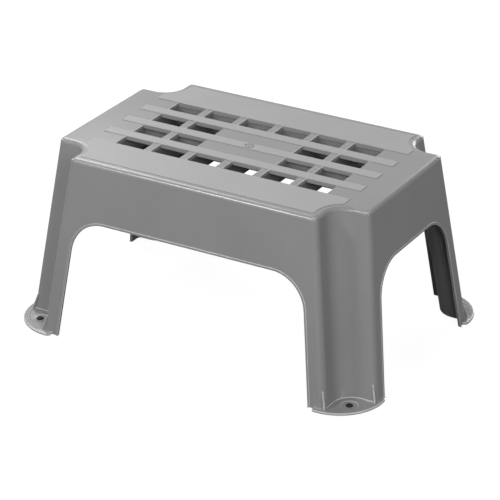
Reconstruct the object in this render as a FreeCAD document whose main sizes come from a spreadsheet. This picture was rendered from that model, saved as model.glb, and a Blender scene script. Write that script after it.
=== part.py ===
"""Step stool: a one-step stool moulded in one shot of polypropylene, on four push-in rubber feet.

Millimetres, +Z up.  The origin is on the floor under the middle of the deck, +X runs along the
long side and -Y is the front.  The moulding is the same in all four corners, so one quarter
(+X, +Y) is modelled as a PartDesign body and mirrored twice.
"""
import FreeCAD, Part
import math
import os
import re
import Sketcher

SIZES = [
    # deck, legs and walls
    ("height", 230.0, "floor to the top of the tread"),
    ("deck_length", 424.0, "deck along X, to the faces of the sides"),
    ("deck_width", 276.0, "deck along Y, to the faces of the aprons"),
    ("foot_length", 482.0, "the same along X at the foot of the legs"),
    ("foot_width", 332.0, "the same along Y at the foot of the legs"),
    ("wall", 3.0, "wall of aprons, sides and legs"),
    ("deck_thick", 5.0, "deck between its smooth top and its underside"),
    ("deck_round", 6.0, "rounding of the deck's outer edge"),
    # corner flutes, the scoops that run down each leg
    ("flute_x", 45.0, "flute from the side's face, along X"),
    ("flute_foot_x", 44.0, "the same at the foot"),
    ("flute_y", 44.0, "flute from the apron's face, along Y"),
    ("flute_round", 25.0, "radius in the root of the flute"),
    ("cusp_round", 8.0, "radius on the two arrises of the flute"),
    # arches between the legs
    ("front_apron", 75.0, "tread top to the crown of the long arches"),
    ("side_apron", 73.0, "tread top to the crown of the short arches"),
    ("front_flange", 22.8, "leg face left beside the flute, along X, at the foot"),
    ("side_flange", 20.7, "leg face left beside the flute, along Y, at the foot"),
    ("arch_lean", 7.0, "lean of the arch edges, in degrees"),
    ("arch_round", 45.0, "radius of the arch shoulders"),
    ("bead_width", 3.2, "bead along the arch edges"),
    ("bead_rise", 0.7, "bead proud of the face"),
    # tread strips and slots
    ("tread_rise", 0.6, "grained strips proud of the smooth deck"),
    ("tread_length", 353.0, "grained strips along X"),
    ("tread_width", 255.0, "outer edges of the grained field along Y"),
    ("tread_margin", 9.0, "smooth border round the flutes"),
    ("slot_length", 40.0, "slot along X"),
    ("slot_width", 25.0, "slot along Y, the full smooth channel"),
    ("slot_pitch", 50.0, "slots along X"),
    ("row_pitch", 40.5, "rows of slots along Y"),
    # ribs under the deck
    ("rib_thick", 2.2, "ribs under the deck"),
    ("rib_drop", 31.0, "tread top to the bottom edge of the ribs"),
    ("rib_gap", 3.0, "outer slots to the long rib beside them"),
    # foot plates
    ("stand", 1.5, "floor to the bottom edges of the leg faces"),
    ("plate_lift", 0.7, "those edges to the underside of the foot plate"),
    ("plate_thick", 2.8, "foot plate at its rim"),
    ("plate_radius", 58.5, "outer arc of the foot plate"),
    ("plate_centre_x", 53.0, "centre of that arc inside the leg corner, along X"),
    ("plate_centre_y", 50.0, "centre of that arc inside the leg corner, along Y"),
    ("plate_lap", 14.5, "plate in front of each leg face, from the flute"),
    ("plate_corner", 4.5, "radius of the plate's two corners"),
    ("plate_edge", 0.8, "bevel of the plate's top edge"),
    ("rim_width", 7.0, "rim of the plate round its sunk floor"),
    ("rim_behind", 0.6, "the same along the flute"),
    ("floor_sink", 0.8, "floor of the plate under its rim"),
    ("dish_radius", 10.4, "dish round the rubber foot"),
    ("dish_sink", 0.6, "dish under the floor of the plate"),
    ("gusset_thick", 2.0, "gussets between leg and plate"),
    ("gusset_height", 19.0, "gusset above the plate"),
    ("gusset_reach", 1.2, "gusset outside the leg's sharp corner"),
    ("front_gusset_shift", -0.8, "front gusset from the corner's diagonal, into the flute"),
    ("side_gusset_shift", 2.2, "side gusset from the corner's diagonal, into the flute"),
    # rubber feet
    ("stem_gap", 0.2, "clearance round the rubber's stem"),
    ("head_radius", 9.0, "rubber head under the plate"),
    ("head_bevel", 0.6, "bevel of the rubber head's lower edge"),
    ("stem_radius", 3.3, "rubber stem"),
    ("barb_radius", 4.5, "barb that holds the stem, at its shoulder"),
    ("barb_tip", 3.4, "the same at its top"),
    ("barb_height", 1.6, "barb above the dish"),
    ("pad_inset_x", 24.5, "rubber foot inside the leg corner, along X"),
    ("pad_inset_y", 23.5, "rubber foot inside the leg corner, along Y"),
]

# Lengths that several features share, written with the names above.  One that uses another
# comes before it.
SHARED = {
    "smooth_top": "(height - tread_rise)",
    "underside": "(height - tread_rise - deck_thick)",
    "half_deck_x": "(deck_length / 2)",
    "half_deck_y": "(deck_width / 2)",
    "splay_x": "((half_foot_x - deck_length / 2) / (height - tread_rise - stand))",
    "splay_y": "((half_foot_y - deck_width / 2) / (height - tread_rise - stand))",
    "flute_splay": "((flute_foot_at - deck_length / 2 + flute_x) / (height - tread_rise - stand))",
    "flute_foot_at": "(half_foot_x - flute_foot_x)",
    "half_foot_x": "(foot_length / 2)",
    "half_foot_y": "(foot_width / 2)",
    "dish_floor": "(plate_floor - dish_sink)",
    "plate_floor": "(plate_top - floor_sink)",
    "plate_top": "(plate_bottom + plate_thick)",
    "plate_bottom": "(stand + plate_lift)",
    "first_channel": "(row_pitch / 2)",
    "second_channel": "(row_pitch * 3 / 2)",
}

NAMES = {name for name, _, _ in SIZES}
CORNERS = {"front_left": (-1, -1), "front_right": (1, -1), "back_left": (-1, 1), "back_right": (1, 1)}
SLOT_COLUMNS = 3  # slots on each side of the middle in the outer rows
BLANK_COLUMNS = 1  # of these, left out next to the middle in the inner rows
SPARE = 6.0  # what a cutting profile runs past the material that it cuts

# Points in plan at the foot of the +X, +Y leg.
PLATE_CENTRE = ("half_foot_x - plate_centre_x", "half_foot_y - plate_centre_y")
FLUTE_CENTRE = ("(flute_foot_at + flute_round)", "(half_foot_y - flute_y + flute_round)")
RUBBER_AT = ("half_foot_x - pad_inset_x", "half_foot_y - pad_inset_y")

doc = FreeCAD.newDocument("step_stool")
sheet = doc.addObject("Spreadsheet::Sheet", "Sizes")
for row, (name, size, note) in enumerate(SIZES, start=1):
    sheet.set(f"A{row}", name)
    sheet.set(f"B{row}", str(size))
    sheet.set(f"C{row}", note)
    sheet.setAlias(f"B{row}", name)
doc.recompute()


def rule(text):
    """An expression of the document, from one written with plain size names."""
    text = str(text)
    for name, meaning in SHARED.items():
        text = re.sub(rf"\b{name}\b", meaning, text)
    return re.sub(r"[a-z_]{2,}", lambda word: "Sizes." + word[0] if word[0] in NAMES else word[0], text)


def number(text):
    """The value that an expression has now."""
    value = sheet.evalExpression(rule(text))
    return float(getattr(value, "Value", value))


def origin_item(body, role):
    return next(item for item in body.Origin.OriginFeatures if item.Role == role)


def bind(item, prop, text):
    item.setExpression(prop, rule(text))


class Outline:
    """A sketch on one of the body's origin planes whose points follow the sheet."""

    def __init__(self, body, name, plane):
        self.sketch = body.newObject("Sketcher::SketchObject", name)
        self.sketch.AttachmentSupport = [(origin_item(body, plane), "")]
        self.sketch.MapMode = "FlatFace"

    def place(self, axis=None, turn=None, **shift):
        """Moves the sketch in its own plane's frame, and turns it by an angle in degrees."""
        if axis:
            self.sketch.AttachmentOffset = FreeCAD.Placement(
                FreeCAD.Vector(), FreeCAD.Rotation(FreeCAD.Vector(*axis), 1.0))
            bind(self.sketch, "AttachmentOffset.Rotation.Angle", turn)
        for letter, text in shift.items():
            bind(self.sketch, f"AttachmentOffset.Base.{letter}", text)
        return self

    def hold(self, geometry, point, across, up):
        """Ties one point of the sketch to two expressions."""
        for kind, axis, text in (("DistanceX", -2, across), ("DistanceY", -1, up)):
            if abs(number(text)) < 1e-9:
                self.sketch.addConstraint(Sketcher.Constraint("PointOnObject", geometry, point, axis))
                continue
            item = self.sketch.addConstraint(
                Sketcher.Constraint(kind, -1, 1, geometry, point, number(text)))
            bind(self.sketch, f"Constraints[{item}]", text)

    def polygon(self, points):
        """A closed run of straight lines through points given as pairs of expressions."""
        values = [FreeCAD.Vector(number(x), number(y), 0) for x, y in points]
        first = self.sketch.GeometryCount
        count = len(points)
        for i in range(count):
            self.sketch.addGeometry(Part.LineSegment(values[i], values[(i + 1) % count]), False)
        for i in range(count):
            after = first + (i + 1) % count
            self.sketch.addConstraint(Sketcher.Constraint("Coincident", first + i, 2, after, 1))
        for i, (x, y) in enumerate(points):
            self.hold(first + i, 1, x, y)
        return self

    def rectangle(self, x0, y0, x1, y1):
        return self.polygon([(x0, y0), (x1, y0), (x1, y1), (x0, y1)])

    def disc(self, x, y, radius):
        centre = FreeCAD.Vector(number(x), number(y), 0)
        circle = self.sketch.addGeometry(
            Part.Circle(centre, FreeCAD.Vector(0, 0, 1), number(radius)), False)
        self.hold(circle, 3, x, y)
        self.size(circle, radius)
        return self

    def curved(self, points, arcs, smooth=()):
        """A closed outline of lines and arcs.

        arcs gives the centre and radius of the arc that starts at each numbered point, always
        the shorter way round.  Its two ends aren't tied to their values: they follow from the
        radius and the lines beside them, which touch the arc at the points numbered in smooth.
        """
        values = [FreeCAD.Vector(number(x), number(y), 0) for x, y in points]
        count = len(points)
        ends = [(1, 2)] * count
        for i in range(count):
            start, end = values[i], values[(i + 1) % count]
            if i not in arcs:
                self.sketch.addGeometry(Part.LineSegment(start, end), False)
                continue
            (across, up), radius = arcs[i]
            middle = FreeCAD.Vector(number(across), number(up), 0)
            angles = [math.atan2(point.y - middle.y, point.x - middle.x) for point in (start, end)]
            if (angles[1] - angles[0]) % math.tau > math.pi:
                angles.reverse()
                ends[i] = (2, 1)
            circle = Part.Circle(middle, FreeCAD.Vector(0, 0, 1), number(radius))
            self.sketch.addGeometry(Part.ArcOfCircle(circle, *angles), False)
        for i in range(count):
            joint = (i + 1) % count
            kind = "Tangent" if joint in smooth else "Coincident"
            self.sketch.addConstraint(
                Sketcher.Constraint(kind, i, ends[i][1], joint, ends[joint][0]))
        loose = {i for arc in arcs for i in (arc, (arc + 1) % count)}
        for i, (x, y) in enumerate(points):
            if i not in loose:
                self.hold(i, 1, x, y)
        for i, (centre, radius) in arcs.items():
            self.hold(i, 3, *centre)
            self.size(i, radius)
        return self

    def size(self, geometry, radius):
        item = self.sketch.addConstraint(Sketcher.Constraint("Radius", geometry, number(radius)))
        bind(self.sketch, f"Constraints[{item}]", radius)

    def straighten(self, level=(), upright=()):
        for i in level:
            self.sketch.addConstraint(Sketcher.Constraint("Horizontal", i))
        for i in upright:
            self.sketch.addConstraint(Sketcher.Constraint("Vertical", i))
        return self


def feature(body, kind, name, **properties):
    item = body.newObject("PartDesign::" + kind, name)
    for prop, value in properties.items():
        setattr(item, prop, value)
    return item


def volume(body):
    doc.recompute()
    return body.Shape.Volume


def pad(body, outline, name, length, both_ways=False, reverse=False):
    item = feature(body, "Pad", name, Profile=outline.sketch, Reversed=reverse)
    if both_ways:
        item.SideType = "Symmetric"
    bind(item, "Length", length)
    return item


def pocket(body, outline, name, length, both_ways=False):
    """A pocket that must take material away."""
    before = volume(body)
    item = feature(body, "Pocket", name, Profile=outline.sketch)
    if both_ways:
        item.SideType = "Symmetric"
    bind(item, "Length", length)
    if volume(body) > before - 1.0:
        raise RuntimeError(name + " cuts nothing")
    return item


def copies(body, original, name, role, occurrences, spacing):
    """A row of one feature along an origin axis."""
    item = feature(body, "LinearPattern", name, Originals=[original],
                   Direction=(origin_item(body, role), [""]), Mode="Spacing", Occurrences=occurrences)
    bind(item, "Offset", spacing)
    body.Tip = item
    return item


def edges_where(body, test):
    """Names of the edges of the body's solid that pass a test."""
    doc.recompute()
    return [f"Edge{i}" for i, edge in enumerate(body.Shape.Edges, start=1) if test(edge)]


def round_edges(body, name, test, radius, expected=None):
    return ease_edges(body, "Fillet", "Radius", name, test, radius, expected)


def bevel_edges(body, name, test, width, expected=None):
    return ease_edges(body, "Chamfer", "Size", name, test, width, expected)


def ease_edges(body, kind, prop, name, test, size, expected):
    base = body.Tip
    names = edges_where(body, test)
    if not names or (expected and len(names) != expected):
        raise RuntimeError(f"{name} found {len(names)} edges")
    item = feature(body, kind, name, Base=(base, names))
    bind(item, prop, size)
    body.Tip = item
    return item


def ends(edge):
    return [vertex.Point for vertex in edge.Vertexes]


def near(a, b, slack=1e-3):
    return abs(a - b) < slack


def runs_down_at(x_top, y_top, x_foot, y_foot):
    """Test for a leg edge between a point at the deck and one at the foot, all expressions."""
    values = [number(text) for text in (x_top, y_top, x_foot, y_foot)]

    def test(edge):
        points = sorted(ends(edge), key=lambda point: -point.z)
        if len(points) != 2 or points[0].z - points[1].z < number("height") / 2:
            return False
        found = [points[0].x, points[0].y, points[1].x, points[1].y]
        return all(near(a, b) for a, b in zip(found, values))

    return test


def rim_at(level):
    """Test for an edge that lies in one level plane, off the two planes of symmetry."""
    height = number(level)

    def test(edge):
        middle = edge.valueAt((edge.FirstParameter + edge.LastParameter) / 2)
        level_all = all(near(point.z, height) for point in ends(edge) + [middle])
        return level_all and not (near(middle.x, 0) or near(middle.y, 0))

    return test


# ---------------------------------------------------------------- the moulding

def faces(face, axis):
    """Whether a face looks out along +X or +Y, or nearly."""
    return getattr(face.normalAt(0, 0), axis) > 0.9


def lean_out(body, name, test, angle):
    """Drafts level-topped walls outward, so that they splay from the deck down to the floor."""
    doc.recompute()
    base = body.Tip
    walls = [f"Face{i}" for i, face in enumerate(body.Shape.Faces, start=1) if test(face)]
    top = [f"Face{i}" for i, face in enumerate(body.Shape.Faces, start=1)
           if near(face.CenterOfMass.z, number("smooth_top"))]
    item = feature(body, "Draft", name, Base=(base, walls), NeutralPlane=(base, top))
    bind(item, "Angle", angle)
    body.Tip = item


def splayed_block(body):
    """Solid block with a flute down each corner and every outer wall splayed."""
    plan = Outline(body, "deck_plan", "XY_Plane").place(z="smooth_top").polygon([
        ("0", "0"),
        ("half_deck_x", "0"),
        ("half_deck_x", "half_deck_y - flute_y"),
        ("half_deck_x - flute_x", "half_deck_y - flute_y"),
        ("half_deck_x - flute_x", "half_deck_y"),
        ("0", "half_deck_y"),
    ])
    pad(body, plan, "block", "smooth_top - stand", reverse=True)
    half = number("half_deck_x")
    lean_out(body, "splay_ends", lambda face: faces(face, "x") and near(face.CenterOfMass.x, half),
             "atan(splay_x)")
    lean_out(body, "splay_flute", lambda face: faces(face, "x") and face.CenterOfMass.x < half - 1.0,
             "atan(flute_splay)")
    lean_out(body, "splay_aprons", lambda face: faces(face, "y"), "atan(splay_y)")
    root = runs_down_at("half_deck_x - flute_x", "half_deck_y - flute_y",
                        "flute_foot_at", "half_foot_y - flute_y")
    round_edges(body, "flute_root", root, "flute_round", 1)
    front = runs_down_at("half_deck_x - flute_x", "half_deck_y", "flute_foot_at", "half_foot_y")
    side = runs_down_at("half_deck_x", "half_deck_y - flute_y", "half_foot_x", "half_foot_y - flute_y")
    round_edges(body, "flute_arrises", lambda edge: front(edge) or side(edge), "cusp_round", 2)
    round_edges(body, "deck_edge", rim_at("smooth_top"), "deck_round", 7)


def hollow(body):
    """Shells the block to an even wall, open below, and thickens the deck from inside."""
    doc.recompute()
    base = body.Tip
    open_faces = []
    for i, face in enumerate(body.Shape.Faces, start=1):
        middle = face.CenterOfMass
        if near(middle.x, 0) or near(middle.y, 0) or near(middle.z, number("stand")):
            open_faces.append(f"Face{i}")
    shell = feature(body, "Thickness", "shell", Base=(base, open_faces), Reversed=True)
    bind(shell, "Value", "wall")
    body.Tip = shell
    inset, corner = "wall / 2", "flute_round / 2"
    left, low = "half_deck_x - flute_x - wall / 2", "half_deck_y - flute_y - wall / 2"
    plan = Outline(body, "deck_slab_plan", "XY_Plane").place(z="underside").polygon([
        ("0", "0"),
        (f"half_deck_x - {inset}", "0"),
        (f"half_deck_x - {inset}", low),
        (f"{left} + {corner}", low),
        (left, f"{low} + {corner}"),
        (left, f"half_deck_y - {inset}"),
        ("0", f"half_deck_y - {inset}"),
    ])
    pad(body, plan, "deck_slab", "deck_thick - wall / 2")


def foot_plate(body):
    """Plate that closes the flute near the floor and bulges past the leg."""
    centre = PLATE_CENTRE
    left, low = "flute_foot_at - plate_lap", "half_foot_y - flute_y - plate_lap"
    arc_x = f"({centre[0]} + sqrt(plate_radius ^ 2 - ({centre[1]} - ({low})) ^ 2))"
    arc_y = f"({centre[1]} + sqrt(plate_radius ^ 2 - ({centre[0]} - ({left})) ^ 2))"
    inset = "wall * 0.75"  # the plate's inner outline runs inside the wall of the leg
    flute_left, flute_low = f"flute_foot_at - {inset}", f"half_foot_y - flute_y - {inset}"
    outline = Outline(body, "plate_plan", "XY_Plane").place(z="plate_bottom").curved([
        (left, f"half_foot_y - {inset}"),
        (flute_left, f"half_foot_y - {inset}"),
        (flute_left, FLUTE_CENTRE[1]),
        (FLUTE_CENTRE[0], flute_low),
        (f"half_foot_x - {inset}", flute_low),
        (f"half_foot_x - {inset}", low),
        (arc_x, low),
        (left, arc_y),
    ], {2: (FLUTE_CENTRE, f"flute_round + {inset}"), 6: (centre, "plate_radius")}, smooth=(2, 3))
    outline.straighten(level=[5], upright=[7])
    pad(body, outline, "foot_plate", "plate_thick")

    def plate_corner(edge):
        points = ends(edge)
        if len(points) != 2 or not near(abs(points[0].z - points[1].z), number("plate_thick")):
            return False
        at_front = near(points[0].x, number(left)) and near(points[0].y, number(arc_y))
        at_side = near(points[0].x, number(arc_x)) and near(points[0].y, number(low))
        return (at_front or at_side) and near(points[0].x, points[1].x)

    round_edges(body, "plate_corners", plate_corner, "plate_corner", 2)
    middle = FreeCAD.Vector(number(centre[0]), number(centre[1]), number("plate_top"))

    def plate_rim(edge):
        point = edge.valueAt((edge.FirstParameter + edge.LastParameter) / 2)
        outside = point.x > number("half_foot_x") or point.y > number("half_foot_y")
        on_arc = near((point - middle).Length, number("plate_radius"))
        return all(near(end.z, middle.z) for end in ends(edge)) and (outside or on_arc)

    bevel_edges(body, "plate_rim", plate_rim, "plate_edge")


def plate_floor(body):
    """Sinks the floor of the plate inside its rim, with a dish and a hole for the rubber foot."""
    root_radius, arc_radius = "(flute_round - rim_behind)", "(plate_radius - rim_width)"
    left, low = f"({FLUTE_CENTRE[0]} - {root_radius})", f"({FLUTE_CENTRE[1]} - {root_radius})"
    centre = PLATE_CENTRE
    outline = Outline(body, "plate_floor_plan", "XY_Plane").place(z="plate_top")
    outline.curved([
        (left, f"{centre[1]} + sqrt({arc_radius} ^ 2 - ({left} - ({centre[0]})) ^ 2)"),
        (left, FLUTE_CENTRE[1]),
        (FLUTE_CENTRE[0], low),
        (f"{centre[0]} + sqrt({arc_radius} ^ 2 - ({low} - ({centre[1]})) ^ 2)", low),
    ], {1: (FLUTE_CENTRE, root_radius), 3: (centre, arc_radius)}, smooth=(1, 2))
    outline.straighten(level=[2], upright=[0])
    pocket(body, outline, "plate_floor", "floor_sink")
    dish = Outline(body, "dish_plan", "XY_Plane").place(z="plate_floor")
    dish.disc(*RUBBER_AT, "dish_radius")
    pocket(body, dish, "dish", "dish_sink")
    hole = Outline(body, "stem_hole_plan", "XY_Plane").place(z="plate_top")
    hole.disc(*RUBBER_AT, "stem_radius + stem_gap")
    pocket(body, hole, "stem_hole", "plate_thick")


def gussets(body):
    """Two thin webs, near the diagonal, that brace the flute's arrises to the plate."""
    root_two = 2 ** 0.5
    aside = {name: f"{name}_shift / {root_two}" for name in ("front_gusset", "side_gusset")}
    corners = {
        "front_gusset": (f"flute_foot_at + {aside['front_gusset']}",
                         f"half_foot_y - {aside['front_gusset']}"),
        "side_gusset": (f"half_foot_x - {aside['side_gusset']}",
                        f"half_foot_y - flute_y + {aside['side_gusset']}"),
    }
    lean = f"(splay_x + splay_y) / {root_two} * gusset_height"
    face = f"-cusp_round * {root_two - 1}"  # the rounded arris, measured from its sharp corner
    foot = "plate_top - plate_thick / 2"
    for name, (x, y) in corners.items():
        outline = Outline(body, name + "_side", "XZ_Plane")
        outline.place(axis=(0, 1, 0), turn="45", x=x, z=f"-({y})")
        outline.polygon([
            (f"{face} - wall / 2", foot),
            ("gusset_reach", foot),
            ("gusset_reach", "plate_top"),
            (f"{face} - {lean}", "plate_top + gusset_height"),
            (f"{face} - wall / 2 - {lean}", "plate_top + gusset_height"),
        ])
        pad(body, outline, name, "gusset_thick", both_ways=True)


def arch_outline(body, name, front, grow, below):
    """Half an arch on the leaning face of an apron or a side, drawn up the slope from its foot.

    It is larger than the opening by grow, and reaches below the foot by below.
    """
    if front:
        outline = Outline(body, name, "XZ_Plane")
        outline.place(axis=(1, 0, 0), turn="atan(splay_y)", y="stand", z="-half_foot_y")
        splay, apron, edge = "splay_y", "front_apron", "flute_foot_at - front_flange"
    else:
        outline = Outline(body, name, "YZ_Plane")
        outline.place(axis=(1, 0, 0), turn="-atan(splay_x)", y="stand", z="half_foot_x")
        splay, apron, edge = "splay_x", "side_apron", "half_foot_y - flute_y - side_flange"
    crown = f"((height - {apron} - stand) / cos(atan({splay})) + {grow})"
    edge = f"({edge} + {grow} / cos(arch_lean))"
    radius = f"(arch_round + {grow})"
    # where the leaning edge would meet the crown line, and how far the shoulder's arc stays from it
    corner = f"({edge} - tan(arch_lean) * {crown})"
    reach = f"({radius} * tan((90 - arch_lean) / 2))"
    points = [
        ("0", f"-{below}"),
        (f"{edge} + tan(arch_lean) * {below}", f"-{below}"),
        (f"{corner} + {reach} * sin(arch_lean)", f"{crown} - {reach} * cos(arch_lean)"),
        (f"{corner} - {reach}", crown),
        ("0", crown),
    ]
    shoulder = ((f"{corner} - {reach}", f"{crown} - {radius}"), radius)
    return outline.curved(points, {2: shoulder}, smooth=(2, 3))


def arches(body):
    """A bead round each arch, then the arch itself."""
    for name, front in (("long", True), ("short", False)):
        bead = arch_outline(body, name + "_bead_line", front, "bead_width", "0")
        pad(body, bead, name + "_bead", "bead_rise", reverse=front)
    for name, front in (("long", True), ("short", False)):
        opening = arch_outline(body, name + "_arch_line", front, "0", SPARE)
        pocket(body, opening, name + "_arch", "wall * 8", both_ways=True)


def ribs(body):
    """Grid of ribs under the deck: one under each bar between the slots, and three along X."""
    low, high = "(height - rib_drop)", "(underside + deck_thick / 2)"

    def rib_side(name, plane, half_deck, splay, shift):
        reach = "({0} + {1} * (smooth_top - {2}) - wall / 2)"
        return Outline(body, name, plane).place(z=shift).polygon([
            ("0", low),
            (reach.format(half_deck, splay, low), low),
            (reach.format(half_deck, splay, high), high),
            ("0", high),
        ])

    cross = pad(body, rib_side("cross_rib_side", "YZ_Plane", "half_deck_y", "splay_y", "0"),
                "cross_rib", "rib_thick", both_ways=True)
    copies(body, cross, "cross_ribs", "X_Axis", SLOT_COLUMNS + 1, "slot_pitch")
    lines = {"middle_rib": "0", "outer_rib": "-(second_channel + slot_width / 2 + rib_gap)"}
    for name, shift in lines.items():
        outline = rib_side(name + "_side", "XZ_Plane", "half_deck_x", "splay_x", shift)
        pad(body, outline, name, "rib_thick", both_ways=True)


def slots(body):
    """Rows of slots; the inner rows leave out the columns next to the middle."""
    for name, channel, left_out in (("inner", "first_channel", BLANK_COLUMNS),
                                    ("outer", "second_channel", 0)):
        middle = f"slot_pitch * {left_out + 0.5}"
        outline = Outline(body, name + "_slot_plan", "XY_Plane").place(z="smooth_top")
        outline.rectangle(f"{middle} - slot_length / 2", f"{channel} - slot_width / 2",
                          f"{middle} + slot_length / 2", f"{channel} + slot_width / 2")
        slot = pocket(body, outline, name + "_slot", f"deck_thick + {SPARE}")
        copies(body, slot, name + "_slots", "X_Axis", SLOT_COLUMNS - left_out, "slot_pitch")


def tread(body):
    """Raised strips between the rows of slots, and the wide one that turns round the flute."""
    end = "tread_length / 2"
    strips = {
        "middle_strip": ("0", "first_channel - slot_width / 2"),
        "row_strip": ("first_channel + slot_width / 2", "second_channel - slot_width / 2"),
    }
    for name, (near_side, far_side) in strips.items():
        outline = Outline(body, name + "_plan", "XY_Plane").place(z="smooth_top")
        outline.rectangle("0", near_side, end, far_side)
        pad(body, outline, name, "tread_rise")
    radius = "(flute_round + tread_margin)"
    centre = ("half_deck_x - flute_x + flute_round", "half_deck_y - flute_y + flute_round")
    start = "second_channel + slot_width / 2"
    turn = f"{centre[1]} - sqrt({radius} ^ 2 - ({centre[0]} - {end}) ^ 2)"
    outline = Outline(body, "edge_strip_plan", "XY_Plane").place(z="smooth_top")
    outline.curved([
        ("0", start),
        (end, start),
        (end, turn),
        (f"{centre[0]} - {radius}", centre[1]),
        (f"{centre[0]} - {radius}", "tread_width / 2"),
        ("0", "tread_width / 2"),
    ], {2: (centre, radius)}, smooth=(3,))
    outline.straighten(upright=[1])
    pad(body, outline, "edge_strip", "tread_rise")


def mirror_whole(body, name, role):
    before = volume(body)
    item = feature(body, "Mirrored", name, TransformMode="Whole shape",
                   MirrorPlane=(origin_item(body, role), [""]))
    body.Tip = item
    if volume(body) < before * 1.7:
        raise RuntimeError(name + " mirrors nothing")


def make_stool():
    body = doc.addObject("PartDesign::Body", "stool_body")
    body.Label = "stool_body"
    splayed_block(body)
    hollow(body)
    foot_plate(body)
    plate_floor(body)
    gussets(body)
    arches(body)
    ribs(body)
    slots(body)
    tread(body)
    mirror_whole(body, "both_ends", "YZ_Plane")
    mirror_whole(body, "front_and_back", "XZ_Plane")
    return body


# ---------------------------------------------------------------- the rubber feet

def make_foot(corner, side_x, side_y):
    """Push-in rubber foot: head under the plate, stem through it, barb on the dish."""
    body = doc.addObject("PartDesign::Body", "foot_pad_" + corner)
    body.Label = "foot_pad_" + corner
    top = "dish_floor + barb_height"
    outline = Outline(body, corner + "_foot_profile", "XZ_Plane").polygon([
        ("0", "0"),
        ("head_radius - head_bevel", "0"),
        ("head_radius", "head_bevel"),
        ("head_radius", "plate_bottom"),
        ("stem_radius", "plate_bottom"),
        ("stem_radius", "dish_floor"),
        ("barb_radius", "dish_floor"),
        ("barb_tip", top),
        ("0", top),
    ])
    feature(body, "Revolution", corner + "_foot_turning", Profile=outline.sketch,
            ReferenceAxis=(outline.sketch, ["V_Axis"]), Angle=360)
    bind(body, "Placement.Base.x", f"{side_x} * (half_foot_x - pad_inset_x)")
    bind(body, "Placement.Base.y", f"{side_y} * (half_foot_y - pad_inset_y)")
    return body


# ---------------------------------------------------------------- document, checks, files

def check_and_write(bodies):
    doc.recompute()
    for item in doc.Objects:
        faults = {"Invalid", "Error"} & set(item.State)
        if faults:
            raise RuntimeError(f"{item.Name}: {faults}")
    os.makedirs("parts", exist_ok=True)
    for body in bodies:
        shape = body.Shape
        if shape.isNull() or not shape.isValid() or len(shape.Solids) != 1:
            raise RuntimeError(body.Label + " isn't one valid solid")
        shape.exportStep(f"parts/{body.Label}.step")
        box = shape.optimalBoundingBox(False, False)
        print(f"{body.Label}: {shape.Volume / 1000:.2f} cm3, z {box.ZMin:.2f} to {box.ZMax:.2f}, "
              f"{box.XLength:.2f} x {box.YLength:.2f}")


stool = make_stool()
feet = [make_foot(corner, *sides) for corner, sides in CORNERS.items()]
check_and_write([stool] + feet)
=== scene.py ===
"""Step stool: the looks of the moulding and its rubber feet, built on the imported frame.

Metres, +Z up, the same frame as the solids.  The moulding is the frame's own mesh with its edges
eased and a gate mark added, the rubber feet are turned once and set out by Geometry Nodes, and
both get procedural materials.
"""
import math

import bmesh
import bpy
from bpy.props import FloatProperty, FloatVectorProperty, IntProperty, PointerProperty
from mathutils import Matrix, Vector


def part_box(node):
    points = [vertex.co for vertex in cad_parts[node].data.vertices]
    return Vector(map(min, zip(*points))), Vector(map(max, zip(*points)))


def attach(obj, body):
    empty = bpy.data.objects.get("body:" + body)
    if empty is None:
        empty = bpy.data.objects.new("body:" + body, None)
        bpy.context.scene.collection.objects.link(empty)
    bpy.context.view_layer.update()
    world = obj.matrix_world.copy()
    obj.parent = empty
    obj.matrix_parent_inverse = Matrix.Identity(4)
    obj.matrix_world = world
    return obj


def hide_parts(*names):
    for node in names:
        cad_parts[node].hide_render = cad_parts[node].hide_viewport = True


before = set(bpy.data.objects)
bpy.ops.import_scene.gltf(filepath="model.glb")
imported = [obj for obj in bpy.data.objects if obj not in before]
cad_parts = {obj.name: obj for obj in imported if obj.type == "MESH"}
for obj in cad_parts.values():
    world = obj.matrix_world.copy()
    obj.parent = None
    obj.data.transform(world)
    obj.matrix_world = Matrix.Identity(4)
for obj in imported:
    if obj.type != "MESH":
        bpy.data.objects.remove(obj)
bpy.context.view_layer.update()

bl_info = {
    "name": "Step Stool",
    "version": (1, 0, 0),
    "blender": (4, 5, 0),
    "location": "View3D > Sidebar > Step Stool",
    "description": "Dresses a moulded step stool: eased moulding, rubber feet and a plain studio",
    "category": "Object",
}

MM = 0.001
BODY = "root"
MOULDING_NODE = "stool_body"
FOOT_NODES = ("foot_pad_front_left", "foot_pad_front_right",
              "foot_pad_back_left", "foot_pad_back_right")
DECK_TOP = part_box(MOULDING_NODE)[1].z

DECK_CORE = (180.0 * MM, 115.0 * MM)  # half sizes of the slotted and ribbed middle of the deck
LEVEL = 0.5  # upward part of a normal from which a face counts as level
STEP_MARGIN = 0.05 * MM  # a face that goes further below the smooth deck is no strip's step
SHARP_ANGLE = math.radians(30)  # edges that turn by more are eased
SMOOTH_ANGLE = math.radians(35)  # edges that turn by less are shaded smooth
FRAME_MERGE = 0.02 * MM  # corners that the frame's loose triangles share lie this near
EASED_MERGE = 0.002 * MM  # corners that the easing has brought together
TURNED_MERGE = 0.001 * MM  # corners at the poles and seams of what is turned
EASING_SEGMENTS = 2  # flats across one eased or rounded edge

GATE_ROOT = 0.2 * MM  # how far the gate mark reaches down into the middle strip
GATE_INNER, GATE_SLOPE, DOT_TOP, DOT_FOOT = 0.76, 0.03, 0.2, 0.24  # shares of its outer radius
GATE_RING_STEPS, GATE_DOT_STEPS = 48, 24

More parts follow.
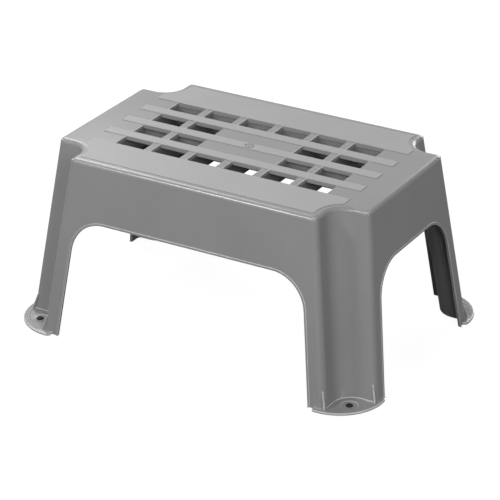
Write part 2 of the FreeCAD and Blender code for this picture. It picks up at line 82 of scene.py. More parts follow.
GRAIN_STARTS, GRAIN_FULL = 0.35, 0.15  # depths below a strip's top, as shares of its height
WALL_GRAIN, STRIP_GRAIN = 0.1, 0.6  # grain depths of the walls and of the strips' tops
GRAIN_HEIGHT = 0.03 * MM  # height of the moulded grain at a grain depth of 1
PORE_FINENESS, PORE_SHARE = 1.7, 0.35  # pores of the grain against its specks
CLOUD_SCALE = 11.0  # soft clouds of tone to the metre
RUBBER_GRAIN = 0.4 * MM  # width of one speck on the rubber

FIRST_RING = 0.4  # start of the inmost grip ring, as a share of the rings' pitch
SOLE_BEVEL = 0.6 * MM  # on the rim of the sole
BARB_LEAN, BARB_BEND = 0.3 * MM, 0.7 * MM  # inset and height of the bend in the barb's side
BARB_CROWN = 1.1 * MM  # inset of the barb's top
DIMPLE_DEPTH, DIMPLE_STEP = 0.5 * MM, (0.6, 0.8)  # and the shares of radius and depth at its bend

FLOOR_HALF = 6.0  # half a side of the studio floor
SENSOR_WIDTH = 36.0  # in millimetres, as the lens is
CLIP_START, CLIP_END = 0.05, 50.0

FLOAT_A, FLOAT_B, FLOAT_OUT = 2, 3, 0  # sockets of a Mix node that mixes numbers
COLOUR_A, COLOUR_B, COLOUR_OUT = 6, 7, 2  # and of one that mixes colours
# The third material, on the eased edges, is a paler grey that paints a highlight along them.
OUTSIDE_INDEX, INSIDE_INDEX, EDGE_HIGHLIGHT_INDEX = 0, 1, 2  # the moulding's materials
SKIN_NODE = "skin"


# ---------------------------------------------------------------- sizes and colours

class MouldingSettings(bpy.types.PropertyGroup):
    """Colours, finish and small sizes of the grey moulding"""
    colour: FloatVectorProperty(
        name="Colour", description="Grey of the satin walls and the smooth deck", subtype="COLOR",
        default=(0.245, 0.245, 0.25), min=0.0, max=1.0)
    tread_colour: FloatVectorProperty(
        name="Strip colour", description="Grey of the strips, which their grain makes paler",
        subtype="COLOR", default=(0.31, 0.31, 0.315), min=0.0, max=1.0)
    # The paler edge grey paints a highlight along the eased edges.
    edge_colour: FloatVectorProperty(
        name="Edge colour", description="Grey of the eased edges, which handling burnishes paler",
        subtype="COLOR", default=(0.5, 0.5, 0.505), min=0.0, max=1.0)
    edge_ease: FloatProperty(
        name="Edge easing", description="Radius on the outer edges of the moulding",
        default=0.6 * MM, min=0.0, unit="LENGTH", subtype="DISTANCE")
    slot_ease: FloatProperty(
        name="Slot easing", description="Radius on the rims of the slots",
        default=1.0 * MM, min=0.0, unit="LENGTH", subtype="DISTANCE")
    strip_ease: FloatProperty(
        name="Strip easing", description="Radius on the low steps of the tread strips",
        default=0.22 * MM, min=0.0, unit="LENGTH", subtype="DISTANCE")
    tread_rise: FloatProperty(
        name="Strip height", description="Height of the grained strips over the smooth deck",
        default=0.6 * MM, min=0.0, unit="LENGTH", subtype="DISTANCE")
    gloss: FloatProperty(
        name="Gloss", description="Specular level of the plastic", default=0.5, min=0.0, max=1.0)
    wall_roughness: FloatProperty(
        name="Wall roughness", description="Roughness of the satin walls",
        default=0.23, min=0.0, max=1.0)
    tread_roughness: FloatProperty(
        name="Strip roughness", description="Roughness of the grained strips",
        default=0.5, min=0.0, max=1.0)
    inside_gloss: FloatProperty(
        name="Inside gloss", description="Specular level of the duller inside of the moulding",
        default=0.1, min=0.0, max=1.0)
    inside_roughness: FloatProperty(
        name="Inside roughness", description="Roughness of the inside of the moulding",
        default=0.7, min=0.0, max=1.0)
    grain_size: FloatProperty(
        name="Grain size", description="Width of one speck of the moulded grain",
        default=0.9 * MM, min=0.05 * MM, unit="LENGTH", subtype="DISTANCE")
    gate_radius: FloatProperty(
        name="Gate mark", description="Outer radius of the ring round the injection point",
        default=5.8 * MM, min=0.0, unit="LENGTH", subtype="DISTANCE")
    gate_rise: FloatProperty(
        name="Gate mark height", description="Height of that ring over the middle strip",
        default=0.5 * MM, min=0.0, unit="LENGTH", subtype="DISTANCE")


class RubberSettings(bpy.types.PropertyGroup):
    """Colour, finish and sizes of the push-in rubber feet"""
    colour: FloatVectorProperty(
        name="Colour", description="Black of the rubber feet", subtype="COLOR",
        default=(0.012, 0.012, 0.013), min=0.0, max=1.0)
    gloss: FloatProperty(
        name="Gloss", description="Specular level of the rubber", default=0.2, min=0.0, max=1.0)
    roughness: FloatProperty(
        name="Roughness", description="Roughness of the rubber", default=0.7, min=0.0, max=1.0)
    head_height: FloatProperty(
        name="Head height", description="Sole to the underside of the foot plate",
        default=2.2 * MM, min=0.0, unit="LENGTH", subtype="DISTANCE")
    stem_radius: FloatProperty(
        name="Stem radius", description="Radius of the stem in the hole of the plate",
        default=3.3 * MM, min=0.0, unit="LENGTH", subtype="DISTANCE")
    barb_radius: FloatProperty(
        name="Barb radius", description="Radius of the barb that sits on the dish",
        default=4.5 * MM, min=0.0, unit="LENGTH", subtype="DISTANCE")
    barb_height: FloatProperty(
        name="Barb height", description="Height of the barb over the dish",
        default=1.6 * MM, min=0.0, unit="LENGTH", subtype="DISTANCE")
    dimple_radius: FloatProperty(
        name="Dimple radius", description="Radius of the hollow in the top of the barb",
        default=1.7 * MM, min=0.0, unit="LENGTH", subtype="DISTANCE")
    rings: IntProperty(name="Grip rings", description="Rings under the sole", default=3, min=0, max=8)
    ring_width: FloatProperty(
        name="Ring width", description="Width of one grip ring",
        default=1.1 * MM, min=0.1 * MM, unit="LENGTH", subtype="DISTANCE")
    groove_depth: FloatProperty(
        name="Groove depth", description="Depth of the grooves between the grip rings",
        default=0.5 * MM, min=0.0, unit="LENGTH", subtype="DISTANCE")
    edge_round: FloatProperty(
        name="Edge rounding", description="Radius on the edges of the rubber",
        default=0.18 * MM, min=0.0, unit="LENGTH", subtype="DISTANCE")
    turning_steps: IntProperty(
        name="Turning steps", description="Flats round one turned rubber foot", default=56, min=12)


class StudioSettings(bpy.types.PropertyGroup):
    """Camera, lamps and floor"""
    azimuth: FloatProperty(
        name="Azimuth", description="Camera's turn round the stool", subtype="ANGLE",
        default=math.radians(30.181))
    elevation: FloatProperty(
        name="Elevation", description="Camera's height angle", subtype="ANGLE",
        default=math.radians(25.981))
    roll: FloatProperty(
        name="Roll", description="Camera's lean", subtype="ANGLE", default=math.radians(-0.0206))
    distance: FloatProperty(
        name="Distance", description="Camera to the point that it looks at", default=2.9640,
        unit="LENGTH", subtype="DISTANCE")
    lens: FloatProperty(name="Lens", description="Focal length in millimetres", default=174.30)
    aim: FloatVectorProperty(
        name="Aim", description="Point that the camera looks at", subtype="TRANSLATION",
        default=(0.00225, -0.00235, 0.09235))
    front_power: FloatProperty(
        name="Front panel", description="Lamp before the front apron, in watts", default=15.0, min=0.0)
    left_power: FloatProperty(
        name="Left panel", description="Small lamp at the front left, in watts", default=15.0, min=0.0)
    right_power: FloatProperty(
        name="Right panel", description="Lamp at the front right, in watts", default=10.5, min=0.0)
    low_power: FloatProperty(
        name="Low panel", description="Small low lamp at the right end, in watts", default=7.0, min=0.0)
    back_power: FloatProperty(
        name="Back panel", description="High lamp behind the left end, in watts", default=7.8, min=0.0)
    gloss_power: FloatProperty(
        name="Gloss panel", description="Lower lamp there that the smooth deck reflects, in watts",
        default=8.2, min=0.0)
    rear_power: FloatProperty(
        name="Rear panel", description="Lamp that fills the back walls, in watts",
        default=12.0, min=0.0)
    sky: FloatProperty(
        name="Sky", description="Strength of the even light all round", default=0.02, min=0.0)
    floor_glow: FloatProperty(
        name="Floor glow", description="Light added to the floor where it is seen, to make it white",
        default=0.95, min=0.0)
    floor_in_gloss: FloatProperty(
        name="Floor in gloss", description="Share of that glow that glossy surfaces reflect",
        default=0.4, min=0.0, max=1.0)
    floor_colour: FloatVectorProperty(
        name="Floor colour", description="Colour of the floor as a diffuse surface", subtype="COLOR",
        default=(0.12, 0.12, 0.12), min=0.0, max=1.0)


# ---------------------------------------------------------------- node helpers

def put(tree, kind, x=0, y=0, **settings):
    """Adds a node; settings are its properties, and inputs is a dict of socket values."""
    node = tree.nodes.new(kind)
    node.location = (x, y)
    inputs = settings.pop("inputs", {})
    for name, value in settings.items():
        setattr(node, name, value)
    for socket, value in inputs.items():
        node.inputs[socket].default_value = value
    return node


def wire(tree, *pairs):
    """Links each pair of an output and an input."""
    for start, end in pairs:
        tree.links.new(start, end)


def group_sockets(tree, inputs, outputs):
    """Names the inputs of a node group, with their kinds and defaults, and its outputs."""
    for name, kind, *default in inputs:
        socket = tree.interface.new_socket(name=name, in_out="INPUT", socket_type=kind)
        if default:
            socket.default_value = default[0]
    for name, kind in outputs:
        tree.interface.new_socket(name=name, in_out="OUTPUT", socket_type=kind)


# ---------------------------------------------------------------- materials

def moulded_skin():
    """Shader group: the fine grain and the faint clouding that any moulded surface has."""
    name = "moulded skin"
    if name in bpy.data.node_groups:
        return bpy.data.node_groups[name]
    tree = bpy.data.node_groups.new(name, "ShaderNodeTree")
    group_sockets(tree, [
        ("Colour", "NodeSocketColor", (0.3, 0.3, 0.3, 1.0)),
        ("Grain Size", "NodeSocketFloat", 0.001),
        ("Grain Depth", "NodeSocketFloat", 1.0),
        ("Clouding", "NodeSocketFloat", 0.05),
        ("Roughness", "NodeSocketFloat", 0.5),
        ("Roughness Spread", "NodeSocketFloat", 0.05),
    ], [
        ("Colour", "NodeSocketColor"),
        ("Roughness", "NodeSocketFloat"),
        ("Height", "NodeSocketFloat"),
    ])
    given = put(tree, "NodeGroupInput", -1000)
    result = put(tree, "NodeGroupOutput", 700)
    place = put(tree, "ShaderNodeTexCoord", -1000, -300)
    scale = put(tree, "ShaderNodeMath", -800, -100, operation="DIVIDE", inputs={0: 1.0})
    grain = put(tree, "ShaderNodeTexNoise", -600, -100, inputs={"Detail": 2.0, "Roughness": 0.55})
    pores = put(tree, "ShaderNodeTexVoronoi", -600, -350)
    finer = put(tree, "ShaderNodeMath", -800, -350, operation="MULTIPLY", inputs={1: PORE_FINENESS})
    clouds = put(tree, "ShaderNodeTexNoise", -600, 250,
                 inputs={"Scale": CLOUD_SCALE, "Detail": 3.0, "Roughness": 0.5})
    mix = put(tree, "ShaderNodeMath", -350, -150, operation="MULTIPLY_ADD", inputs={1: PORE_SHARE})
    height = put(tree, "ShaderNodeMath", -100, -150, operation="MULTIPLY")
    cloud_low = put(tree, "ShaderNodeMath", -350, 300, operation="SUBTRACT", inputs={1: 0.5})
    cloud_gain = put(tree, "ShaderNodeMath", -150, 300, operation="MULTIPLY_ADD", inputs={2: 1.0})
    tint = put(tree, "ShaderNodeVectorMath", 300, 300, operation="SCALE")
    spread = put(tree, "ShaderNodeMath", 100, 50, operation="MULTIPLY_ADD")
    grain_low = put(tree, "ShaderNodeMath", -100, 50, operation="SUBTRACT", inputs={1: 0.5})
    wire(tree,
         (given.outputs["Grain Size"], scale.inputs[1]),
         (place.outputs["Object"], grain.inputs["Vector"]),
         (place.outputs["Object"], pores.inputs["Vector"]),
         (place.outputs["Object"], clouds.inputs["Vector"]),
         (scale.outputs[0], grain.inputs["Scale"]),
         (scale.outputs[0], finer.inputs[0]),
         (finer.outputs[0], pores.inputs["Scale"]),
         (pores.outputs["Distance"], mix.inputs[0]),
         (grain.outputs["Fac"], mix.inputs[2]),
         (mix.outputs[0], height.inputs[0]),
         (given.outputs["Grain Depth"], height.inputs[1]),
         (height.outputs[0], result.inputs["Height"]),
         (clouds.outputs["Fac"], cloud_low.inputs[0]),
         (cloud_low.outputs[0], cloud_gain.inputs[0]),
         (given.outputs["Clouding"], cloud_gain.inputs[1]),
         (given.outputs["Colour"], tint.inputs[0]),
         (cloud_gain.outputs[0], tint.inputs["Scale"]),
         (tint.outputs[0], result.inputs["Colour"]),
         (grain.outputs["Fac"], grain_low.inputs[0]),
         (grain_low.outputs[0], spread.inputs[0]),
         (given.outputs["Roughness Spread"], spread.inputs[1]),
         (given.outputs["Roughness"], spread.inputs[2]),
         (spread.outputs[0], result.inputs["Roughness"]))
    return tree


def moulded_material(name, colour, gloss, **skin_inputs):
    """A material of the moulded skin; skin_inputs are the skin's inputs, with _ for a space."""
    material = bpy.data.materials.new(name)
    material.use_nodes = True
    material.diffuse_color = (*colour, 1.0)
    tree = material.node_tree
    tree.nodes.clear()
    output = put(tree, "ShaderNodeOutputMaterial", 600)
    shader = put(tree, "ShaderNodeBsdfPrincipled", 300, inputs={"Specular IOR Level": gloss})
    skin = put(tree, "ShaderNodeGroup", -150, name=SKIN_NODE, node_tree=moulded_skin())
    bump = put(tree, "ShaderNodeBump", 60, -250, inputs={"Strength": 1.0, "Distance": GRAIN_HEIGHT})
    skin.inputs["Colour"].default_value = (*colour, 1.0)
    for socket, value in skin_inputs.items():
        skin.inputs[socket.replace("_", " ")].default_value = value
    wire(tree,
         (skin.outputs["Colour"], shader.inputs["Base Color"]),
         (skin.outputs["Roughness"], shader.inputs["Roughness"]),
         (skin.outputs["Height"], bump.inputs["Height"]),
         (bump.outputs["Normal"], shader.inputs["Normal"]),
         (shader.outputs["BSDF"], output.inputs["Surface"]))
    return material


def plastic_material(settings):
    """Grey polypropylene: satin walls, and a coarser, duller grain on top of the tread strips."""
    material = moulded_material(
        "grey polypropylene", settings.colour, settings.gloss,
        Grain_Size=settings.grain_size, Clouding=0.2, Roughness_Spread=0.08)
    tree = material.node_tree
    skin = tree.nodes[SKIN_NODE]
    place = put(tree, "ShaderNodeTexCoord", -1100, 0)
    split = put(tree, "ShaderNodeSeparateXYZ", -900, 0)
    on_strip = put(tree, "ShaderNodeMapRange", -700, 0, inputs={
        "From Min": DECK_TOP - GRAIN_STARTS * settings.tread_rise,
        "From Max": DECK_TOP - GRAIN_FULL * settings.tread_rise})
    paler = put(tree, "ShaderNodeMix", -450, 350, data_type="RGBA", inputs={
        COLOUR_A: (*settings.colour, 1.0), COLOUR_B: (*settings.tread_colour, 1.0)})
    dull = put(tree, "ShaderNodeMapRange", -450, 100, inputs={
        "To Min": settings.wall_roughness, "To Max": settings.tread_roughness})
    deep = put(tree, "ShaderNodeMapRange", -450, -200, inputs={
        "To Min": WALL_GRAIN, "To Max": STRIP_GRAIN})
    wire(tree,
         (place.outputs["Object"], split.inputs[0]),
         (split.outputs["Z"], on_strip.inputs["Value"]),
         (on_strip.outputs[0], paler.inputs["Factor"]),
         (paler.outputs[COLOUR_OUT], skin.inputs["Colour"]),
         (on_strip.outputs[0], dull.inputs["Value"]),
         (on_strip.outputs[0], deep.inputs["Value"]),
         (dull.outputs[0], skin.inputs["Roughness"]),
         (deep.outputs[0], skin.inputs["Grain Depth"]))
    return material


def inside_material(settings):
    """The same polypropylene where the mould's core left it duller: the inside, ribs and slots."""
    return moulded_material(
        "grey polypropylene inside", settings.colour, settings.inside_gloss,
        Grain_Size=settings.grain_size, Grain_Depth=0.2, Clouding=0.12,
        Roughness=settings.inside_roughness, Roughness_Spread=0.1)


def edge_highlight_material(settings):
    """The same polypropylene on its eased edges, in a paler grey that paints a highlight along them, at
    the walls' roughness.
    """
    return moulded_material(
        "grey polypropylene edge", settings.edge_colour, settings.gloss,
        Grain_Size=settings.grain_size, Grain_Depth=WALL_GRAIN, Clouding=0.3,
        Roughness=settings.wall_roughness, Roughness_Spread=0.1)


def rubber_material(settings):
    """Black rubber with a dusty, very fine grain."""
    return moulded_material(
        "black rubber", settings.colour, settings.gloss,
        Grain_Size=RUBBER_GRAIN, Grain_Depth=0.8, Clouding=0.5,
        Roughness=settings.roughness, Roughness_Spread=0.15)


def seen_directly(tree, x, y, in_gloss=1.0):
    """1 for the camera's rays and those through glass, in_gloss for a gloss's, 0 for the rest."""
    rays = put(tree, "ShaderNodeLightPath", x, y)
    weaker = put(tree, "ShaderNodeMath", x + 200, y - 150, operation="MULTIPLY", inputs={1: in_gloss})
    first = put(tree, "ShaderNodeMath", x + 200, y, operation="MAXIMUM")
    both = put(tree, "ShaderNodeMath", x + 400, y, operation="MAXIMUM")
    wire(tree,
         (rays.outputs["Is Camera Ray"], first.inputs[0]),
         (rays.outputs["Is Glossy Ray"], weaker.inputs[0]),
         (weaker.outputs[0], first.inputs[1]),
         (first.outputs[0], both.inputs[0]),
         (rays.outputs["Is Transmission Ray"], both.inputs[1]))
    return both.outputs[0]


def floor_material(settings):
    """Dim diffuse floor, lifted to white where it is seen, that keeps the stool's shadow."""
    material = bpy.data.materials.new("studio floor")
    material.use_nodes = True
    tree = material.node_tree
    tree.nodes.clear()
    output = put(tree, "ShaderNodeOutputMaterial", 600)
    diffuse = put(tree, "ShaderNodeBsdfDiffuse", 0, inputs={"Color": (*settings.floor_colour, 1.0)})
    glow = put(tree, "ShaderNodeEmission", 0, -150)
    strength = put(tree, "ShaderNodeMath", -200, -200, operation="MULTIPLY",
                   inputs={1: settings.floor_glow})
    both = put(tree, "ShaderNodeAddShader", 300)
    wire(tree,
         (seen_directly(tree, -900, -200, settings.floor_in_gloss), strength.inputs[0]),
         (strength.outputs[0], glow.inputs["Strength"]),
         (diffuse.outputs[0], both.inputs[0]),
         (glow.outputs[0], both.inputs[1]),
         (both.outputs[0], output.inputs["Surface"]))
    return material


# ---------------------------------------------------------------- mesh helpers

def linked(name, data):
    """A new object in the scene, at the origin."""
    item = bpy.data.objects.new(name, data)
    bpy.context.scene.collection.objects.link(item)
    return item


def new_piece(name, mesh, slot, *nodes):
    """Links a finished mesh as a piece that rides on the stool and stands for CAD nodes."""
    piece = linked(name, mesh)
    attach(piece, BODY)
    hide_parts(*nodes)


def baked(draft):
    """The mesh of a draft with its modifiers taken up, and the draft removed."""
    evaluated = draft.evaluated_get(bpy.context.evaluated_depsgraph_get())
    mesh = bpy.data.meshes.new_from_object(evaluated)
    bpy.data.objects.remove(draft, do_unlink=True)
    return mesh


def smooth(mesh):
    """Shades a mesh smooth, but for its sharp edges."""
    mesh.shade_smooth()
    mesh.set_sharp_from_angle(angle=SMOOTH_ANGLE)


def turned(name, profile, steps, closed=False):
    """A draft of a profile of radii and heights, with the Screw modifier that turns it round Z."""
    count = len(profile)
    mesh = bpy.data.meshes.new(name)
    edges = [(i, (i + 1) % count) for i in range(count if closed else count - 1)]
    mesh.from_pydata([(radius, 0.0, height) for radius, height in profile], edges, [])
    draft = linked(name, mesh)
    turning = draft.modifiers.new("turning", "SCREW")
    turning.steps = turning.render_steps = steps
    turning.use_merge_vertices = True
    turning.merge_threshold = TURNED_MERGE
    return draft


def joined(name, *meshes):
    """One mesh of several turned ones, with merged poles and every face outwards."""
    shell = bmesh.new()
    for mesh in meshes:
        shell.from_mesh(mesh)
    bmesh.ops.remove_doubles(shell, verts=shell.verts, dist=TURNED_MERGE)
    bmesh.ops.recalc_face_normals(shell, faces=shell.faces)
    result = bpy.data.meshes.new(name)
    for material in meshes[0].materials:
        result.materials.append(material)
    shell.to_mesh(result)
    shell.free()
    return result


def corner_layout():
    """Geometry Nodes tree that sets a copy of a part on each corner of a rectangle."""
    tree = bpy.data.node_groups.new("corner layout", "GeometryNodeTree")
    group_sockets(tree, [
        ("Geometry", "NodeSocketGeometry"),
        ("Spacing X", "NodeSocketFloat", 1.0),
        ("Spacing Y", "NodeSocketFloat", 1.0),
        ("Material", "NodeSocketMaterial"),
    ], [("Geometry", "NodeSocketGeometry")])
    given = put(tree, "NodeGroupInput", -600)
    corners = put(tree, "GeometryNodeMeshGrid", -350, 200, inputs={"Vertices X": 2, "Vertices Y": 2})
    copies = put(tree, "GeometryNodeInstanceOnPoints", -100)
    real = put(tree, "GeometryNodeRealizeInstances", 150)
    coat = put(tree, "GeometryNodeSetMaterial", 350)
    result = put(tree, "NodeGroupOutput", 550)
    wire(tree,
         (given.outputs["Spacing X"], corners.inputs["Size X"]),
         (given.outputs["Spacing Y"], corners.inputs["Size Y"]),
         (corners.outputs["Mesh"], copies.inputs["Points"]),
         (given.outputs["Geometry"], copies.inputs["Instance"]),
         (copies.outputs["Instances"], real.inputs[0]),
         (real.outputs[0], coat.inputs["Geometry"]),
         (given.outputs["Material"], coat.inputs["Material"]),
         (coat.outputs[0], result.inputs[0]))
    return tree


def add_tree(draft, tree, **values):
    """Gives a draft a Geometry Nodes tree; values are its inputs, with _ for a space."""
    layout = draft.modifiers.new(tree.name, "NODES")
    layout.node_group = tree
    for item in tree.interface.items_tree:
        key = item.name.replace(" ", "_")
        if item.in_out == "INPUT" and key in values:
            layout[item.identifier] = values[key]


def merged_mesh(node):
    """A copy of a frame node's loose triangles as one closed bmesh."""
    shell = bmesh.new()
    shell.from_mesh(node.data)
    bmesh.ops.remove_doubles(shell, verts=shell.verts, dist=FRAME_MERGE)
    bmesh.ops.dissolve_degenerate(shell, edges=shell.edges, dist=FRAME_MERGE)
    return shell


# ---------------------------------------------------------------- operators

class STOOL_OT_moulding(bpy.types.Operator):
    """Makes the grey moulding with eased edges, and gives it its plastic"""
    bl_idname = "step_stool.moulding"
    bl_label = "Make Moulding"

    def execute(self, context):
        settings = context.scene.stool_moulding
        widest = max(settings.edge_ease, settings.slot_ease)
        shell = merged_mesh(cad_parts[MOULDING_NODE])
        self.weigh_edges(shell, settings, widest)
        for face in shell.faces:
            face.material_index = INSIDE_INDEX if self.is_inside(face) else OUTSIDE_INDEX
        mesh = bpy.data.meshes.new("moulding")
        for make in (plastic_material, inside_material, edge_highlight_material):
            mesh.materials.append(make(settings))
        shell.to_mesh(mesh)
        shell.free()
        draft = linked("moulding_draft", mesh)
        easing = draft.modifiers.new("eased edges", "BEVEL")
        easing.limit_method = "WEIGHT"
        easing.width = widest
        easing.segments = EASING_SEGMENTS
        # The eased faces get the paler edge grey, a painted highlight.
        easing.material = EDGE_HIGHLIGHT_INDEX
        easing.use_clamp_overlap = False
        mesh = baked(draft)
        self.finish_shell(mesh, settings)
        smooth(mesh)
        draft = linked("moulding_draft", mesh)
        flat = draft.modifiers.new("flat faces stay flat", "WEIGHTED_NORMAL")
        flat.keep_sharp = True
        new_piece("moulding", baked(draft), "stool_plastic", MOULDING_NODE)
        return {"FINISHED"}

    def weigh_edges(self, shell, settings, widest):
        """Gives each sharp edge its share of the widest easing: outer edge, slot's rim or step."""
        weight = shell.edges.layers.float.new("bevel_weight_edge")
        below_steps = DECK_TOP - 2.0 * settings.tread_rise  # under the smooth deck, in the slots
        for edge in shell.edges:
            if len(edge.link_faces) == 2 and edge.calc_face_angle_signed() > SHARP_ANGLE:
                on_deck = min(vert.co.z for vert in edge.verts) > below_steps
                lowest = min(vert.co.z for face in edge.link_faces for vert in face.verts)
                if not on_deck:
                    width = settings.edge_ease
                elif lowest < below_steps:
                    width = settings.slot_ease
                else:
                    width = settings.strip_ease
                edge[weight] = width / widest

    def is_inside(self, face):
        """Whether a face looks towards the stool's middle, or belongs to the ribs or a slot."""
        middle, normal = face.calc_center_median(), face.normal
        inwards = normal.x * middle.x + normal.y * middle.y < 0.0
        in_core = abs(middle.x) < DECK_CORE[0] and abs(middle.y) < DECK_CORE[1]
        under_deck = in_core and abs(normal.z) < LEVEL
        underside = middle.z > 0.5 * DECK_TOP and normal.z < -LEVEL
        return (inwards and normal.z < LEVEL) or under_deck or underside

    def finish_shell(self, mesh, settings):
        """Welds the eased mesh, takes the painted edge highlight off the strips' low steps and adds the
        gate mark.
        """
        shell = bmesh.new()
        shell.from_mesh(mesh)
        bmesh.ops.remove_doubles(shell, verts=shell.verts, dist=EASED_MERGE)
        self.unhighlight_strip_steps(shell, settings)
        shell.from_mesh(self.gate_mark(settings))
        shell.to_mesh(mesh)
        shell.free()

    def unhighlight_strip_steps(self, shell, settings):
        """Gives the eased steps of the tread strips back to the plain plastic, without the painted edge
        highlight.
        """
        smooth_deck = DECK_TOP - settings.tread_rise - STEP_MARGIN
        highlighted_faces = [face for face in shell.faces if face.material_index == EDGE_HIGHLIGHT_INDEX]
        low = {face for face in highlighted_faces if min(vert.co.z for vert in face.verts) < smooth_deck}
        for face in highlighted_faces:
            beside = {other for edge in face.edges for other in edge.link_faces}
            if face not in low and not beside & low:
                face.material_index = OUTSIDE_INDEX

    def gate_mark(self, settings):
        """A plain raised ring and dot, as where the plastic was injected."""
        outer, top, sunk = settings.gate_radius, DECK_TOP + settings.gate_rise, DECK_TOP - GATE_ROOT
        inner, slope = GATE_INNER * outer, GATE_SLOPE * outer
        ring = turned("gate_ring", [
            (inner, sunk), (inner + slope, top), (outer - slope, top), (outer, sunk)],
            GATE_RING_STEPS, closed=True)
        dot = turned("gate_dot", [
            (0.0, top), (DOT_TOP * outer, top), (DOT_FOOT * outer, sunk), (0.0, sunk)],
            GATE_DOT_STEPS)
        mark = joined("gate_mark", baked(ring), baked(dot))
        mark.polygons.foreach_set("material_index", [INSIDE_INDEX] * len(mark.polygons))
        return mark


class STOOL_OT_rubber_feet(bpy.types.Operator):
    """Turns one rubber foot and sets it out under the four legs"""
    bl_idname = "step_stool.rubber_feet"
    bl_label = "Make Rubber Feet"

    def execute(self, context):
        settings = context.scene.stool_rubber
        foot = turned("foot_draft", self.profile(settings), settings.turning_steps)
        rounding = foot.modifiers.new("rounded edges", "BEVEL")
        rounding.width = settings.edge_round
        rounding.segments = EASING_SEGMENTS
        front_right, back_left = (sum(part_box(name), Vector()) / 2 for name in FOOT_NODES[1:3])
        apart = front_right - back_left
        add_tree(foot, corner_layout(), Spacing_X=abs(apart.x), Spacing_Y=abs(apart.y),
                 Material=rubber_material(settings))
        mesh = joined("rubber_feet", baked(foot))
        smooth(mesh)
        new_piece("rubber_feet", mesh, "foot_rubber", *FOOT_NODES)
        return {"FINISHED"}

    def profile(self, settings):
        """Half the foot's outline, from the middle of its sole to the dimple in its barb."""
        low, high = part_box(FOOT_NODES[0])
        radius, top = (high.x - low.x) / 2, high.z
        groove, head = low.z + settings.groove_depth, low.z + settings.head_height
        pitch = radius / (settings.rings + 1)
        points = [(0.0, groove)]
        for i in range(settings.rings):
            inner = (i + FIRST_RING) * pitch
            outer = inner + settings.ring_width
            points += [(inner, groove), (inner, low.z), (outer, low.z), (outer, groove)]
        rim = radius - settings.ring_width
        stem, barb, dish = settings.stem_radius, settings.barb_radius, top - settings.barb_height
        dimple = settings.dimple_radius
        return points + [
            (rim, groove), (rim, low.z), (radius - SOLE_BEVEL, low.z), (radius, low.z + SOLE_BEVEL),
            (radius, head), (stem, head), (stem, dish), (barb, dish),
            (barb - BARB_LEAN, dish + BARB_BEND), (barb - BARB_CROWN, top), (dimple, top),
            (DIMPLE_STEP[0] * dimple, top - DIMPLE_STEP[1] * DIMPLE_DEPTH), (0.0, top - DIMPLE_DEPTH)]


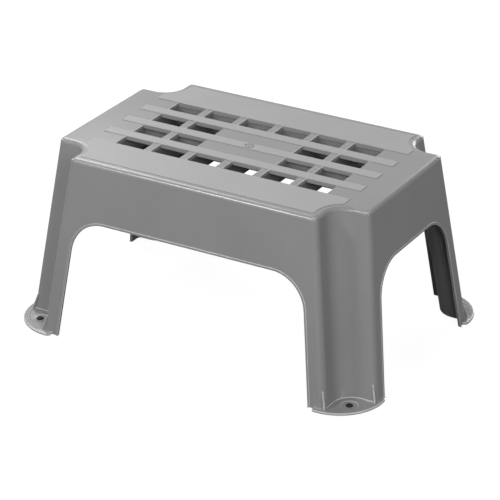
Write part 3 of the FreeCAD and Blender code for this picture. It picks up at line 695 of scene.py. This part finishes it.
class STOOL_OT_studio(bpy.types.Operator):
    """Sets the floor, the lamps, the even light and the camera"""
    bl_idname = "step_stool.studio"
    bl_label = "Set Studio"

    def execute(self, context):
        scene = context.scene
        settings = scene.stool_studio
        scene.view_settings.view_transform = "Standard"
        self.lay_floor(settings)
        self.light_sky(scene, settings)
        self.hang_lamps(settings)
        self.aim_camera(scene, settings)
        return {"FINISHED"}

    def direction(self, around, up):
        """Unit vector from the stool's middle, turned from the front towards the right end."""
        level = math.cos(up)
        return Vector((math.sin(around) * level, -math.cos(around) * level, math.sin(up)))

    def lay_floor(self, settings):
        mesh = bpy.data.meshes.new("studio_floor")
        plane = bmesh.new()
        bmesh.ops.create_grid(plane, x_segments=1, y_segments=1, size=FLOOR_HALF)
        plane.to_mesh(mesh)
        plane.free()
        mesh.materials.append(floor_material(settings))
        linked("studio_floor", mesh)

    def light_sky(self, scene, settings):
        world = bpy.data.worlds.new("studio")
        scene.world = world
        world.use_nodes = True
        tree = world.node_tree
        tree.nodes.clear()
        output = put(tree, "ShaderNodeOutputWorld", 400)
        sky = put(tree, "ShaderNodeBackground", 150, inputs={"Color": (1.0, 1.0, 1.0, 1.0)})
        strength = put(tree, "ShaderNodeMix", -50, data_type="FLOAT",
                       inputs={FLOAT_A: settings.sky, FLOAT_B: 1.0})
        wire(tree,
             (seen_directly(tree, -700, 0), strength.inputs["Factor"]),
             (strength.outputs[FLOAT_OUT], sky.inputs["Strength"]),
             (sky.outputs[0], output.inputs["Surface"]))

    def hang_lamps(self, settings):
        lamps = (  # turn from the front and height angle in degrees, distance, side, watts
            ("front_panel", 0, 32, 2.1, 0.6, settings.front_power),
            ("left_panel", -33, 42, 2.1, 0.35, settings.left_power),
            ("right_panel", 45, 30, 2.1, 0.6, settings.right_power),
            ("low_panel", 74, 14, 2.0, 0.3, settings.low_power),
            ("back_panel", -117, 50, 1.9, 0.9, settings.back_power),
            ("gloss_panel", -130, 40, 1.9, 0.7, settings.gloss_power),
            ("rear_panel", 180, 20, 2.1, 0.9, settings.rear_power),
        )
        middle = Vector((0.0, 0.0, 0.5 * DECK_TOP))
        for name, around, up, distance, side, power in lamps:
            light = bpy.data.lights.new(name, "AREA")
            light.size = side
            light.energy = power
            lamp = linked(name, light)
            out = self.direction(math.radians(around), math.radians(up))
            lamp.location = middle + distance * out
            lamp.rotation_euler = out.to_track_quat("Z", "Y").to_euler()

    def aim_camera(self, scene, settings):
        lens = bpy.data.cameras.new("studio_camera")
        lens.sensor_width = SENSOR_WIDTH
        lens.lens = settings.lens
        lens.clip_start, lens.clip_end = CLIP_START, CLIP_END
        camera = linked("studio_camera", lens)
        back = self.direction(settings.azimuth, settings.elevation)
        camera.location = Vector(settings.aim) + back * settings.distance
        turn = (-back).to_track_quat("-Z", "Y").to_matrix() @ Matrix.Rotation(settings.roll, 3, "Z")
        camera.rotation_euler = turn.to_euler()
        scene.camera = camera


STEPS = (
    ("stool_moulding", MouldingSettings, STOOL_OT_moulding),
    ("stool_rubber", RubberSettings, STOOL_OT_rubber_feet),
    ("stool_studio", StudioSettings, STOOL_OT_studio),
)


class STOOL_PT_panel(bpy.types.Panel):
    """Lists the stool's sizes and colours, and the steps that make it"""
    bl_label = "Step Stool"
    bl_idname = "VIEW3D_PT_step_stool"
    bl_space_type = "VIEW_3D"
    bl_region_type = "UI"
    bl_category = "Step Stool"

    def draw(self, context):
        for name, _, step in STEPS:
            settings = getattr(context.scene, name)
            box = self.layout.box()
            for item in settings.bl_rna.properties:
                if item.identifier not in {"rna_type", "name"}:
                    box.prop(settings, item.identifier)
            box.operator(step.bl_idname)


def register():
    for name, group, step in STEPS:
        bpy.utils.register_class(group)
        bpy.utils.register_class(step)
        setattr(bpy.types.Scene, name, PointerProperty(type=group))
    bpy.utils.register_class(STOOL_PT_panel)


def unregister():
    bpy.utils.unregister_class(STOOL_PT_panel)
    for name, group, step in reversed(STEPS):
        delattr(bpy.types.Scene, name)
        bpy.utils.unregister_class(step)
        bpy.utils.unregister_class(group)


def main():
    register()
    bpy.ops.step_stool.moulding()
    bpy.ops.step_stool.rubber_feet()
    bpy.ops.step_stool.studio()


if __name__ == "__main__":
    main()
